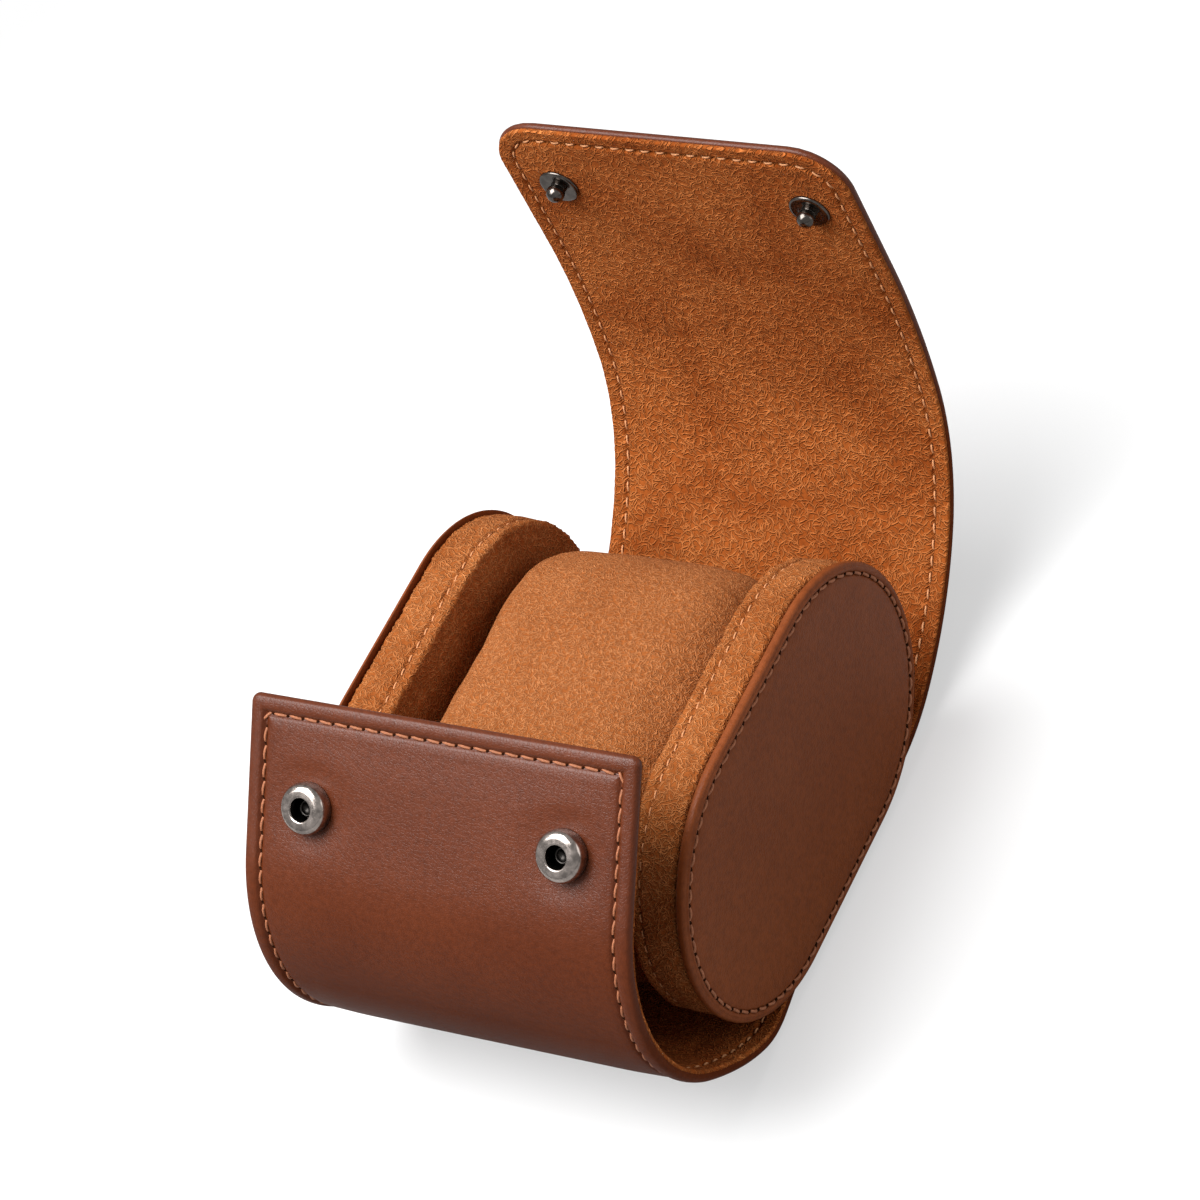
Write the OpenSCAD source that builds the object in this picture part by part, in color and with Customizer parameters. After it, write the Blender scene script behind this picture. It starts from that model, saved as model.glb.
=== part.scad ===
// Watch travel case: one leather wrap (front panel, base, flap), two padded end walls, a lift-out
// cushion and two snaps. Lying on its base, X is the width, -Y the front panel, +Y the flap, +Z up.

/* [Wrap] */
// Half width of the base and the flap
wrap_half_width = 46.2; // [45:0.1:46.4]
// Half width of the front panel
front_half_width = 50; // [49.5:0.1:52]
// Outer leather skin
skin_t = 1.0; // [0.8:0.1:1.2]
// Stiffening board between the skins
board_t = 0.5; // [0.4:0.1:0.6]
// Suede lining
lining_t = 0.9; // [0.7:0.1:1.1]
// Width of the leather turned over the edges
turned_edge = 1.3; // [1:0.1:1.6]
// Base, from the middle to where the wrap starts to lift
base_half_length = 29.6; // [29:0.1:30.2]

/* [Front panel] */
// Flat run before the lower bend
front_flat = 5; // [4:0.5:6]
// Length of the lower bend
front_bend = 13; // [12:0.5:14]
// Turn of the lower bend
front_bend_turn = 32; // [31:0.5:33]
// Length of the rising run
front_rise = 24; // [23:0.5:25]
// Turn of the rising run
front_rise_turn = 14; // [13:0.5:15]
// Length of the belly
front_belly = 63; // [61:0.5:64]
// Turn of the belly
front_belly_turn = 88; // [86:0.5:90]
// Straight top run that carries the sockets
front_top = 36; // [35:0.5:38]

/* [Flap] */
// Flat run before the flap lifts
flap_flat = 10; // [9:0.5:11]
// Length of the first bend
flap_bend = 12; // [11:0.5:13]
// Turn of the first bend
flap_bend_turn = 21; // [20:0.5:22]
// Length of the low sweep
flap_low = 42; // [41:0.5:43]
// Turn of the low sweep
flap_low_turn = 26; // [25:0.5:27]
// Length of the middle sweep
flap_mid = 38; // [37:0.5:39]
// Turn of the middle sweep
flap_mid_turn = 35; // [34:0.5:36]
// Length of the high sweep
flap_high = 38; // [37:0.5:39]
// Turn of the high sweep
flap_high_turn = 12; // [11:0.5:13]
// Straight end that carries the studs
flap_end = 41; // [40:0.5:43]
// Gap between the flap's end piece and the sweep below it
fold_gap = 0.05; // [0.03:0.01:0.1]
// Corner radius of the flap's end
flap_corner_r = 13; // [8:0.5:16]

/* [End walls] */
// Half length of the walls' straight edges
wall_straight = 19.6; // [18:0.1:22]
// Radius of the leather end face
face_r = 36.4; // [36:0.1:36.8]
// Radius of the suede band
band_r = 35.4; // [34.8:0.1:35.6]
// Outermost plane of the leather face, from the middle
face_x = 49.4; // [49:0.1:50]
// Plane where the leather face meets the suede band
band_x = 46.9; // [46.7:0.1:47.2]
// Inner plane of the walls
wall_x = 34.1; // [33.6:0.1:35]
// Rounding of the leather face's rim
face_round = 1.1; // [0.6:0.1:1.2]
// Rounding of the suede band's inner rim
band_round = 2.2; // [1:0.1:3]
// Suede thickness
suede_t = 1.0; // [0.8:0.1:1.2]

/* [Cushion] */
// Half width at the crown
cushion_half_width = 32.6; // [30:0.1:33]
// Radius of the cushion's ends at the crown
cushion_r = 31.4; // [30:0.1:31.4]
// How far the sides draw in
cushion_draw = 3.4; // [2:0.1:5]
// How far the crown falls towards the sides
cushion_fall = 2.6; // [1.5:0.1:4]
// Gap under the cushion
cushion_seat_gap = 0.3; // [0.2:0.05:0.5]
// Cover thickness
cover_t = 1.2; // [1:0.1:1.6]

/* [Snaps] */
// Distance of each snap from the middle
snap_x = 33; // [30:0.5:35]
// Sockets, back from the front panel's top edge
socket_back = 23.5; // [22:0.5:26]
// Studs, back from the flap's end
stud_back = 19.5; // [17:0.5:22]
// Radius of a socket
socket_r = 5.85; // [5.5:0.05:6.2]
// Height of a socket
socket_h = 4.0; // [3.8:0.1:4.2]
// Mouth radius of a socket
mouth_r = 2.6; // [2.5:0.05:2.8]
// Wall of a socket
socket_wall = 0.9; // [0.6:0.05:1.1]
// Lip above the spring
lip_t = 1.0; // [0.8:0.05:1.1]
// Base plate of a socket
plate_t = 0.5; // [0.4:0.05:0.6]
// Step of the ring spring behind the mouth
spring_step = 0.2; // [0.1:0.05:0.4]
// Wire radius of the ring spring
spring_r = 0.3; // [0.25:0.05:0.35]
// Radius of a stud's flange
flange_r = 5; // [4.6:0.1:5.4]
// Height of a stud's flange
flange_h = 0.8; // [0.6:0.05:0.9]
// Radius of a stud's ball
ball_r = 2.2; // [2:0.05:2.3]
// Radius of a stud's neck
neck_r = 1.5; // [1.2:0.05:1.7]
// Ball centre above the flange
ball_rise = 1.6; // [1.4:0.05:1.7]
// Radius of the rivet shanks through the wrap
shank_r = 1.4; // [1.2:0.05:1.6]
// Clearance around the shanks
shank_gap = 0.1; // [0.05:0.01:0.15]
// Radius of the caps behind the sockets
post_cap_r = 4.6; // [4:0.1:5]
// Thickness of the caps behind the sockets
post_cap_t = 0.5; // [0.4:0.05:0.6]
// Radius of the caps on the flap's outside
flap_cap_r = 6; // [5.5:0.1:6.5]
// Height of the caps on the flap's outside
flap_cap_h = 1.4; // [1.2:0.1:1.8]
// Seat gap under the caps
cap_seat_gap = 0.02; // [0.01:0.01:0.05]
// Rise of the caps' dome
flap_cap_dome = 1.0; // [0.5:0.1:1.1]

/* [Hidden] */
$fn = 96;
wrap_t = skin_t + board_t + lining_t;
board_d = skin_t + board_t;
plan_reach = 2 * (front_flat + front_bend + front_rise);
wall_z = wrap_t + band_r;
cushion_z = wrap_t + cushion_seat_gap + cushion_r;
side_arc_r = (cushion_r * cushion_r + cushion_draw * cushion_draw) / (2 * cushion_draw);
cap_dome_r = (flap_cap_r * flap_cap_r + flap_cap_dome * flap_cap_dome) / (2 * flap_cap_dome);
front_1 = [[front_flat, 0], [front_bend, front_bend_turn], [front_rise, front_rise_turn]];
front_2 = [[front_belly, front_belly_turn]];
front_3 = [[front_top, 0]];
flap_1 = [[flap_flat, 0], [flap_bend, flap_bend_turn]];
flap_2 = [[flap_low, flap_low_turn]];
flap_3 = [[flap_mid, flap_mid_turn]];
flap_4 = [[flap_high, flap_high_turn]];
flap_5 = [[flap_end, 0]];
start = [base_half_length, 0];
front_2_at = after(start, 0, front_1);
front_3_at = after(front_2_at, turned(front_1), front_2);
flap_2_at = after(start, 0, flap_1);
flap_3_at = after(flap_2_at, turned(flap_1), flap_2);
flap_4_at = after(flap_3_at, turned(concat(flap_1, flap_2)), flap_3);
flap_5_at = after(flap_4_at, turned(concat(flap_1, flap_2, flap_3)), flap_4);
front_2_a = turned(front_1);
front_3_a = turned(concat(front_1, front_2));
flap_2_a = turned(flap_1);
flap_3_a = turned(concat(flap_1, flap_2));
flap_4_a = turned(concat(flap_1, flap_2, flap_3));
flap_5_a = turned(concat(flap_1, flap_2, flap_3, flap_4));

leather = [0.45, 0.24, 0.16];
suede = [0.72, 0.42, 0.22];
board = [0.6, 0.56, 0.48];
foam = [0.86, 0.84, 0.78];
nickel = [0.66, 0.63, 0.58];
gunmetal = [0.25, 0.25, 0.27];

// Point reached after one run of a given length and turn, from point p at slope a.
function ahead(p, a, length, turn) =
    turn == 0
    ? p + length * [cos(a), sin(a)]
    : let (r = length / (turn * PI / 180))
      p + r * [-sin(a), cos(a)] - r * [-sin(a + turn), cos(a + turn)];

// Point reached after a list of runs.
function after(p, a, runs, i = 0) =
    i == len(runs) ? p : after(ahead(p, a, runs[i][0], runs[i][1]), a + runs[i][1], runs, i + 1);

// Whole turn of a list of runs.
function turned(runs, i = 0) = i == len(runs) ? 0 : runs[i][1] + turned(runs, i + 1);

// One run of the wrap between two depths, measured inwards from the outer surface.
module run(p, a, length, turn, d0, d1, w) {
    if (turn == 0) {
        translate([0, p[0], p[1]])
            rotate([a, 0, 0])
                translate([-w, 0, d0])
                    cube([2 * w, length, d1 - d0]);
    } else {
        r = length / (turn * PI / 180);
        translate([0, p[0] - r * sin(a), p[1] + r * cos(a)])
            rotate([90, 0, 90])
                rotate([0, 0, a - 90])
                    rotate_extrude(angle = turn)
                        translate([r - d1, -w])
                            square([d1 - d0, 2 * w]);
    }
}

// A list of runs, one after another.
module runs(p, a, list, d0, d1, w) {
    for (i = [0 : len(list) - 1]) {
        before = [for (j = [0 : 1 : i - 1]) list[j]];
        run(after(p, a, before), a + turned(before), list[i][0], list[i][1], d0, d1, w);
    }
}

// Leather with its edges turned over the board and the lining.
module turned_leather(p, a, list, w) {
    difference() {
        runs(p, a, list, 0, wrap_t, w);
        runs(p, a, list, skin_t, wrap_t + 1, w - turned_edge);
    }
}

// The same, ending in a turned edge across the strip.
module turned_end_leather(p, a, length, w) {
    difference() {
        run(p, a, length, 0, 0, wrap_t, w);
        run(p, a, length - turned_edge, 0, skin_t, wrap_t + 1, w - turned_edge);
    }
}

// Plan of the front panel's lower part, which widens from the base to the front panel.
module widening_plan(inset) {
    reach = front_2_at[0] + front_flat;
    linear_extrude(height = plan_reach, center = true)
        polygon([
            [-wrap_half_width + inset, base_half_length - 1],
            [wrap_half_width - inset, base_half_length - 1],
            [wrap_half_width - inset, base_half_length],
            [front_half_width - inset, base_half_length + front_flat + front_bend],
            [front_half_width - inset, reach],
            [-front_half_width + inset, reach],
            [-front_half_width + inset, base_half_length + front_flat + front_bend],
            [-wrap_half_width + inset, base_half_length]
        ]);
}

// Outline of the flap's end seen along its own thickness, with two rounded corners.
module flap_end_plan(inset) {
    w = wrap_half_width - inset;
    top = flap_end - inset;
    r = flap_corner_r - inset;
    translate([0, flap_5_at[0], flap_5_at[1]])
        rotate([flap_5_a, 0, 0])
            linear_extrude(height = plan_reach / 4, center = true)
                union() {
                    translate([-w, fold_gap])
                        square([2 * w, top - r - fold_gap]);
                    translate([r - w, fold_gap])
                        square([2 * (w - r), top - fold_gap]);
                    for (side = [-1, 1])
                        translate([side * (w - r), top - r])
                            circle(r);
                }
}

// Puts its children on a snap's place, standing out of the given depth of the wrap.
module at_snaps(p, a, back, length, depth, outwards) {
    spot = p + (length - back) * [cos(a), sin(a)] + depth * [-sin(a), cos(a)];
    for (side = [-1, 1])
        translate([side * snap_x, spot[0], spot[1]])
            rotate([a + (outwards ? 180 : 0), 0, 0])
                children();
}

// Front panel things are drawn towards +Y and mirrored to the front.
module to_front() {
    mirror([0, 1, 0])
        children();
}

module socket_holes() {
    at_snaps(front_3_at, front_3_a, socket_back, front_top, 0, false)
        cylinder(h = 4 * wrap_t, r = shank_r + shank_gap, center = true);
}

module stud_holes() {
    at_snaps(flap_5_at, flap_5_a, stud_back, flap_end, 0, false)
        cylinder(h = 4 * wrap_t, r = shank_r + shank_gap, center = true);
}

// ---- base ----
module base_leather() {
    color(leather)
        difference() {
            translate([-wrap_half_width, -base_half_length, 0])
                cube([2 * wrap_half_width, 2 * base_half_length, wrap_t]);
            translate([turned_edge - wrap_half_width, -base_half_length - 1, skin_t])
                cube([2 * (wrap_half_width - turned_edge), 2 * base_half_length + 2, wrap_t]);
        }
}

module base_board() {
    color(board)
        translate([turned_edge - wrap_half_width, -base_half_length, skin_t])
            cube([2 * (wrap_half_width - turned_edge), 2 * base_half_length, board_t]);
}

module base_lining() {
    color(suede)
        translate([turned_edge - wrap_half_width, -base_half_length, board_d])
            cube([2 * (wrap_half_width - turned_edge), 2 * base_half_length, lining_t]);
}

// ---- front panel ----
module front_lower_leather() {
    color(leather)
        to_front()
            difference() {
                intersection() {
                    runs(start, 0, front_1, 0, wrap_t, front_half_width);
                    widening_plan(0);
                }
                intersection() {
                    runs(start, 0, front_1, skin_t, wrap_t + 1, front_half_width);
                    widening_plan(turned_edge);
                }
            }
}

module front_lower_board() {
    color(board)
        to_front()
            intersection() {
                runs(start, 0, front_1, skin_t, board_d, front_half_width);
                widening_plan(turned_edge);
            }
}

module front_lower_lining() {
    color(suede)
        to_front()
            intersection() {
                runs(start, 0, front_1, board_d, wrap_t, front_half_width);
                widening_plan(turned_edge);
            }
}

module front_belly_leather() {
    color(leather)
        to_front()
            turned_leather(front_2_at, front_2_a, front_2, front_half_width);
}

module front_belly_board() {
    color(board)
        to_front()
            runs(front_2_at, front_2_a, front_2, skin_t, board_d, front_half_width - turned_edge);
}

module front_belly_lining() {
    color(suede)
        to_front()
            runs(front_2_at, front_2_a, front_2, board_d, wrap_t, front_half_width - turned_edge);
}

module front_top_leather() {
    color(leather)
        to_front()
            difference() {
                turned_end_leather(front_3_at, front_3_a, front_top, front_half_width);
                socket_holes();
            }
}

module front_top_layer(d0, d1) {
    to_front()
        difference() {
            run(front_3_at, front_3_a, front_top - turned_edge, 0, d0, d1,
                front_half_width - turned_edge);
            socket_holes();
        }
}

module front_top_board() {
    color(board)
        front_top_layer(skin_t, board_d);
}

module front_top_lining() {
    color(suede)
        front_top_layer(board_d, wrap_t);
}

// ---- flap ----
module flap_layer(p, a, list, d0, d1) {
    runs(p, a, list, d0, d1, wrap_half_width - turned_edge);
}

module flap_1_leather() {
    color(leather)
        turned_leather(start, 0, flap_1, wrap_half_width);
}

module flap_1_board() {
    color(board)
        flap_layer(start, 0, flap_1, skin_t, board_d);
}

module flap_1_lining() {
    color(suede)
        flap_layer(start, 0, flap_1, board_d, wrap_t);
}

module flap_2_leather() {
    color(leather)
        turned_leather(flap_2_at, flap_2_a, flap_2, wrap_half_width);
}

module flap_2_board() {
    color(board)
        flap_layer(flap_2_at, flap_2_a, flap_2, skin_t, board_d);
}

module flap_2_lining() {
    color(suede)
        flap_layer(flap_2_at, flap_2_a, flap_2, board_d, wrap_t);
}

module flap_3_leather() {
    color(leather)
        turned_leather(flap_3_at, flap_3_a, flap_3, wrap_half_width);
}

module flap_3_board() {
    color(board)
        flap_layer(flap_3_at, flap_3_a, flap_3, skin_t, board_d);
}

module flap_3_lining() {
    color(suede)
        flap_layer(flap_3_at, flap_3_a, flap_3, board_d, wrap_t);
}

module flap_4_leather() {
    color(leather)
        turned_leather(flap_4_at, flap_4_a, flap_4, wrap_half_width);
}

module flap_4_board() {
    color(board)
        flap_layer(flap_4_at, flap_4_a, flap_4, skin_t, board_d);
}

module flap_4_lining() {
    color(suede)
        flap_layer(flap_4_at, flap_4_a, flap_4, board_d, wrap_t);
}

module flap_5_leather() {
    color(leather)
        difference() {
            intersection() {
                run(flap_5_at, flap_5_a, flap_end, 0, 0, wrap_t, wrap_half_width);
                flap_end_plan(0);
            }
            intersection() {
                run(flap_5_at, flap_5_a, flap_end, 0, skin_t, wrap_t + 1, wrap_half_width);
                flap_end_plan(turned_edge);
            }
            stud_holes();
        }
}

module flap_5_layer(d0, d1) {
    difference() {
        intersection() {
            run(flap_5_at, flap_5_a, flap_end, 0, d0, d1, wrap_half_width);
            flap_end_plan(turned_edge);
        }
        stud_holes();
    }
}

module flap_5_board() {
    color(board)
        flap_5_layer(skin_t, board_d);
}

module flap_5_lining() {
    color(suede)
        flap_5_layer(board_d, wrap_t);
}

// ---- end walls ----
// A round-ended slab along Y whose section is drawn as radius by depth.
module round_ended(straight) {
    for (side = [0, 180])
        rotate([0, 0, side])
            translate([0, straight, 0])
                rotate_extrude(angle = 180)
                    children();
    for (side = [-1, 1])
        rotate([90, 0, 0])
            linear_extrude(height = 2 * straight, center = true)
                facing(side)
                    children();
}

module facing(side) {
    if (side > 0)
        children();
    else
        mirror([1, 0])
            children();
}

// Radius by depth: a slab from 0 to depth with its far rim rounded.
module rounded_slab(r, depth, rounding) {
    union() {
        square([r - rounding, depth]);
        square([r, depth - rounding]);
        translate([r - rounding, depth - rounding])
            circle(rounding);
    }
}

// Lays a slab drawn on XY, depth along Z, onto the right wall's plane with depth outwards.
module on_wall(x, outwards) {
    translate([x, 0, wall_z])
        rotate([0, outwards ? 90 : -90, 0])
            children();
}

module right_face() {
    on_wall(band_x, true)
        round_ended(wall_straight)
            rounded_slab(face_r, face_x - band_x, face_round);
}

module right_core() {
    on_wall(band_x, false)
        round_ended(wall_straight)
            rounded_slab(band_r - suede_t, band_x - wall_x - suede_t, band_round - suede_t);
}

module right_suede() {
    on_wall(band_x, false)
        round_ended(wall_straight)
            difference() {
                rounded_slab(band_r, band_x - wall_x, band_round);
                rounded_slab(band_r - suede_t, band_x - wall_x - suede_t, band_round - suede_t);
            }
}

module right_face_leather() {
    color(leather)
        right_face();
}

module right_wall_core() {
    color(foam)
        right_core();
}

module right_wall_suede() {
    color(suede)
        right_suede();
}

module left_face_leather() {
    color(leather)
        mirror([1, 0, 0])
            right_face();
}

module left_wall_core() {
    color(foam)
        mirror([1, 0, 0])
            right_core();
}

module left_wall_suede() {
    color(suede)
        mirror([1, 0, 0])
            right_suede();
}

// ---- cushion ----
// Half section of the cushion, radius by depth from the middle: a crown that falls towards the
// sides, then sides drawn in below it. The crown is one arc, the shoulder another.
module cushion_section(inset) {
    w = cushion_half_width - inset;
    r = cushion_r - inset;
    crown_r = (w * w + cushion_fall * cushion_fall) / (2 * cushion_fall);
    intersection() {
        translate([r - crown_r, 0])
            circle(crown_r);
        translate([0, w - side_arc_r])
            circle(side_arc_r);
        square([r, w]);
    }
}

module cushion_solid(inset) {
    translate([0, 0, cushion_z])
        for (side = [0, 1])
            mirror([side, 0, 0])
                rotate([0, 90, 0])
                    round_ended(wall_straight)
                        cushion_section(inset);
}

module cushion_cover() {
    color(suede)
        difference() {
            cushion_solid(0);
            cushion_solid(cover_t);
        }
}

module cushion_foam() {
    color(foam)
        cushion_solid(cover_t);
}

// ---- snaps ----
module snap_sockets() {
    color(nickel)
        to_front()
            at_snaps(front_3_at, front_3_a, socket_back, front_top, 0, true) {
                cylinder(h = plate_t, r = socket_r - socket_wall / 2);
                rotate_extrude()
                    union() {
                        translate([socket_r - socket_wall, 0])
                            square([socket_wall, socket_h - lip_t / 2]);
                        translate([mouth_r + lip_t / 2, socket_h - lip_t])
                            square([socket_r - mouth_r - lip_t, lip_t]);
                        for (r = [mouth_r, socket_r - lip_t])
                            translate([r + lip_t / 2, socket_h - lip_t / 2])
                                circle(lip_t / 2);
                    }
            }
}

module socket_springs() {
    color(nickel)
        to_front()
            at_snaps(front_3_at, front_3_a, socket_back, front_top, 0, true)
                translate([0, 0, socket_h - lip_t - spring_r])
                    rotate_extrude()
                        translate([mouth_r + spring_r + spring_step, 0])
                            circle(spring_r);
}

module socket_caps() {
    color(nickel)
        to_front()
            at_snaps(front_3_at, front_3_a, socket_back, front_top, wrap_t, false) {
                translate([0, 0, -wrap_t])
                    cylinder(h = wrap_t + post_cap_t, r = shank_r);
                cylinder(h = post_cap_t, r = post_cap_r);
            }
}

module snap_studs() {
    color(gunmetal)
        at_snaps(flap_5_at, flap_5_a, stud_back, flap_end, wrap_t, false) {
            translate([0, 0, -wrap_t])
                cylinder(h = wrap_t + flange_h, r = shank_r);
            cylinder(h = flange_h, r = flange_r);
            cylinder(h = flange_h + ball_rise, r = neck_r);
            translate([0, 0, flange_h + ball_rise])
                sphere(ball_r);
        }
}

module stud_caps() {
    color(gunmetal)
        at_snaps(flap_5_at, flap_5_a, stud_back, flap_end, -cap_seat_gap, true)
            intersection() {
                cylinder(h = flap_cap_h, r = flap_cap_r);
                translate([0, 0, flap_cap_h - cap_dome_r])
                    sphere(cap_dome_r);
            }
}

base_leather();
base_board();
base_lining();
front_lower_leather();
front_lower_board();
front_lower_lining();
front_belly_leather();
front_belly_board();
front_belly_lining();
front_top_leather();
front_top_board();
front_top_lining();
flap_1_leather();
flap_1_board();
flap_1_lining();
flap_2_leather();
flap_2_board();
flap_2_lining();
flap_3_leather();
flap_3_board();
flap_3_lining();
flap_4_leather();
flap_4_board();
flap_4_lining();
flap_5_leather();
flap_5_board();
flap_5_lining();
left_face_leather();
left_wall_core();
left_wall_suede();
right_face_leather();
right_wall_core();
right_wall_suede();
cushion_cover();
cushion_foam();
snap_sockets();
socket_springs();
socket_caps();
snap_studs();
stud_caps();
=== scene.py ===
import math

import bmesh
import bpy
import numpy as np
from mathutils import Matrix, Vector
from mathutils.bvhtree import BVHTree


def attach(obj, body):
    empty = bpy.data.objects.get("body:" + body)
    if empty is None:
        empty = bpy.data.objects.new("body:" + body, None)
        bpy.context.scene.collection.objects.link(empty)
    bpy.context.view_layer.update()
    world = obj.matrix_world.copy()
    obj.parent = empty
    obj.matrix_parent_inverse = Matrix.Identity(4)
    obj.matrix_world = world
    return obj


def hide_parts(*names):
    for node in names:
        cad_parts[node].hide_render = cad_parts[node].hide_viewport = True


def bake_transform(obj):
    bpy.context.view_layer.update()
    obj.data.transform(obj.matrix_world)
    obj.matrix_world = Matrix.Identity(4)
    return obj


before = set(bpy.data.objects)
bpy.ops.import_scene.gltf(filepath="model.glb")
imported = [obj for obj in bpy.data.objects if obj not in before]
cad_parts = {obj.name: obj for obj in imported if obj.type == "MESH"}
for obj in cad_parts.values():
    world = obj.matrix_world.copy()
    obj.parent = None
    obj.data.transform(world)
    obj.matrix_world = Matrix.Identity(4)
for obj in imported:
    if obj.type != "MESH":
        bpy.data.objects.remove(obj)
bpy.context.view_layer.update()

# ---- The wrap's path ----
# One strip of leather, board and suede runs from the front panel under the case and up into the
# flap. Its side view is a row of arcs, and every piece of the wrap below is laid along it. The
# flap's first bend is a little smoother than in the solids.
WRAP_THICK = 0.0024
BASE_HALF = 0.0296
FRONT_RUNS = [(0.005, 0), (0.013, 32), (0.024, 14), (0.063, 88), (0.036, 0)]
FLAP_RUNS = [(0.0060, 0), (0.020, 22.85), (0.0380, 24.15), (0.038, 35), (0.038, 12), (0.041, 0)]
FRONT_LENGTH = BASE_HALF + sum(run[0] for run in FRONT_RUNS)
FLAP_LENGTH = BASE_HALF + sum(run[0] for run in FLAP_RUNS)
FRONT_HINGES = [BASE_HALF, BASE_HALF + 0.042, BASE_HALF + 0.105]
FLAP_HINGES = [BASE_HALF, BASE_HALF + 0.022, BASE_HALF + 0.064, BASE_HALF + 0.102,
               BASE_HALF + 0.140]


def wrap_point(side, along):
    """Outer surface point (y, z) and slope of the wrap; side is 1 on the flap, -1 on the front."""
    y, z, slope, left = 0.0, 0.0, 0.0, along
    for length, turn in [(BASE_HALF, 0)] + (FLAP_RUNS if side > 0 else FRONT_RUNS):
        part = min(left, length)
        bend = math.radians(turn) * part / length
        if turn:
            radius = length / math.radians(turn)
            y += radius * (math.sin(slope + bend) - math.sin(slope))
            z += radius * (math.cos(slope) - math.cos(slope + bend))
        else:
            y += part * math.cos(slope)
            z += part * math.sin(slope)
        slope += bend
        left -= part
        if left <= 1e-9:
            break
    return y, z, slope


def wrap_place(side, along, across, depth):
    """Point at a length along the wrap, a place across it and a depth from the leather."""
    y, z, slope = wrap_point(side, along)
    y -= depth * math.sin(slope)
    z += depth * math.cos(slope)
    return Vector((across, side * y, z))


def wrap_normal(side, along):
    """Direction out of the leather side."""
    slope = wrap_point(side, along)[2]
    return Vector((0, side * math.sin(slope), -math.cos(slope)))


def smooth_step(value, low, high):
    t = min(max((value - low) / (high - low), 0), 1)
    return t * t * (3 - 2 * t)


def half_width(side, along):
    """The wrap widens from the base to the front panel."""
    narrow, wide = 0.0462, 0.0500
    if side > 0:
        return narrow
    return narrow + (wide - narrow) * smooth_step(along, 0.012, 0.060)


def crease_stops(hinges, length):
    """Cuts between hinges, where one piece of the strip ends and the next begins."""
    cuts = [0.0]
    for first, second in zip(hinges, hinges[1:]):
        cuts.append((first + second) / 2)
    return cuts + [length]


# The leather itself: smooth, fine-grained, brown, with a soft sheen. The strip's edges are turned
# over the board, which leaves a rounded, slightly raised rim with a row of stitches beside it.
LEATHER_OUT = (0.113, 0.0240, 0.0058)
LEATHER_DARK = (0.088, 0.0175, 0.0038)
RIM_RADIUS = 0.0009
STITCH_INSET = 0.0042
SEAM_STEP = 0.00004
LINING_INSET = 0.0004


def nodes_of(material):
    material.use_nodes = True
    tree = material.node_tree
    return tree, tree.nodes["Principled BSDF"]


def add(tree, kind, **inputs):
    """A shader node with its sockets set by position or name."""
    node = tree.nodes.new(kind)
    for name, value in inputs.items():
        key = int(name[1:]) if name[0] == "i" and name[1:].isdigit() else name.replace("_", " ")
        if isinstance(value, bpy.types.NodeSocket):
            tree.links.new(value, node.inputs[key])
        else:
            node.inputs[key].default_value = value
    return node


def ramp(tree, factor, stops):
    node = tree.nodes.new("ShaderNodeValToRGB")
    tree.links.new(factor, node.inputs[0])
    while len(node.color_ramp.elements) < len(stops):
        node.color_ramp.elements.new(0.5)
    for element, (place, colour) in zip(node.color_ramp.elements, stops):
        element.position = place
        element.color = (*colour, 1)
    return node


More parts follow.
